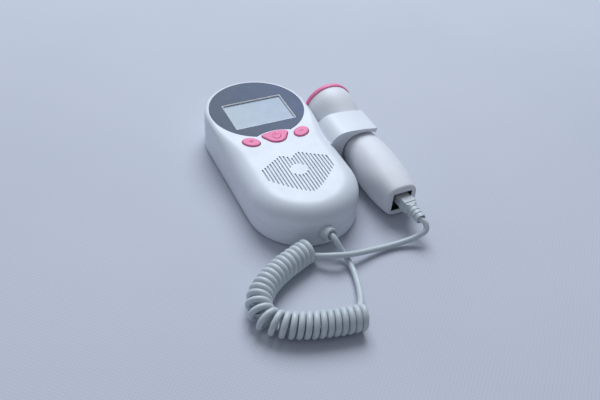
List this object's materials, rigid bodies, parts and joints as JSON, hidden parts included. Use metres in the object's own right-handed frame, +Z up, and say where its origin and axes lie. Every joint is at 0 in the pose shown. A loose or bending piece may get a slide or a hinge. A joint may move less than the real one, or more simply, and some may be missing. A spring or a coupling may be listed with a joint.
{
  "type": "fetal doppler monitor",
  "caption": "Handheld fetal doppler monitor with round display panel, heart-shaped speaker grille, pink keys, and a probe clipped to its side on a curly cord.",
  "frame": {"origin": "centre of the flat back, on the surface that the monitor lies on", "axes": "+Y towards the screen end, +X towards the probe, +Z up out of the screen"},
  "size_m": [0.1272, 0.2018, 0.0334],
  "materials": {
    "white_shell": "satin moulded white ABS",
    "probe_shell": "satin warm white ABS",
    "pink_rubber": "soft satin pink",
    "dark_panel": "glossy blue grey acrylic",
    "lcd": "pale display glass",
    "bezel": "matt dark grey",
    "cord_pvc": "satin light grey PVC",
    "clear_plug": "clear moulded polycarbonate",
    "black_plastic": "matt black",
    "green_board": "solder mask",
    "plated_steel": "bright nickel plate",
    "screw_steel": "zinc plated steel",
    "gold": "gold flash contacts",
    "cell_wrap": "plain cell sleeve",
    "magnet": "plated magnet",
    "cone_paper": "pressed paper cone",
    "lens_plastic": "acoustic lens, satin pale grey",
    "ceramic": "silvered ceramic"
  },
  "bodies": {
    "case": {"probe_clip": "white_shell", "front_shell": "white_shell", "rear_shell": "white_shell", "face_panel": "dark_panel", "lcd_glass": "lcd", "lcd_backlight": "lens_plastic", "lcd_bezel": "bezel", "main_pcb": "green_board", "tact_switches": "black_plastic", "speaker_frame": "screw_steel", "speaker_cone": "cone_paper", "speaker_magnet": "magnet", "batteries": "cell_wrap", "battery_springs": "plated_steel", "battery_plates": "plated_steel", "headphone_jack": "black_plastic", "case_screws": "screw_steel", "pcb_screws": "screw_steel", "cord_gland": "cord_pvc", "cord_lead": "cord_pvc", "cord_coil": "cord_pvc", "cord_tail": "cord_pvc"},
    "power_key": {"power_button": "pink_rubber", "power_switch_stem": "black_plastic"},
    "volume_up_key": {"volume_up_button": "pink_rubber", "volume_up_stem": "black_plastic"},
    "volume_down_key": {"volume_down_button": "pink_rubber", "volume_down_stem": "black_plastic"},
    "cover": {"battery_cover": "white_shell"},
    "probe": {"probe_top_shell": "probe_shell", "probe_bottom_shell": "probe_shell", "head_ring": "pink_rubber", "transducer_lens": "lens_plastic", "transducer_crystals": "ceramic", "transducer_backing": "bezel", "probe_pcb": "green_board", "probe_socket": "black_plastic", "socket_contacts": "gold"},
    "plug": {"plug_boot": "cord_pvc", "plug_housing": "clear_plug", "plug_contacts": "gold"}
  },
  "joints": [
    {"name": "power_press", "type": "slide", "parent": "case", "child": "power_key", "axis": [0, 0, -1], "range_m": [0, 0.0006], "stiffness_N_per_m": 2500, "springref_m": -0.0002},
    {"name": "volume_up_press", "type": "slide", "parent": "case", "child": "volume_up_key", "axis": [0, 0, -1], "range_m": [0, 0.0006], "stiffness_N_per_m": 2500, "springref_m": -0.0002},
    {"name": "volume_down_press", "type": "slide", "parent": "case", "child": "volume_down_key", "axis": [0, 0, -1], "range_m": [0, 0.0006], "stiffness_N_per_m": 2500, "springref_m": -0.0002},
    {"name": "cover_open", "type": "hinge", "parent": "case", "child": "cover", "pos_m": [0, -0.00296, 0.00105], "axis": [1, 0, 0], "range_deg": [0, 60]},
    {"name": "probe_release", "type": "slide", "parent": "case", "child": "probe", "axis": [-0.0192, 0.9985, 0.0506], "range_m": [0, 0.08]},
    {"name": "plug_pull", "type": "slide", "parent": "case", "child": "plug", "axis": [0.0715, -0.9962, -0.0505], "range_m": [0, 0.014], "deforming": ["cord_tail"]}
  ]
}
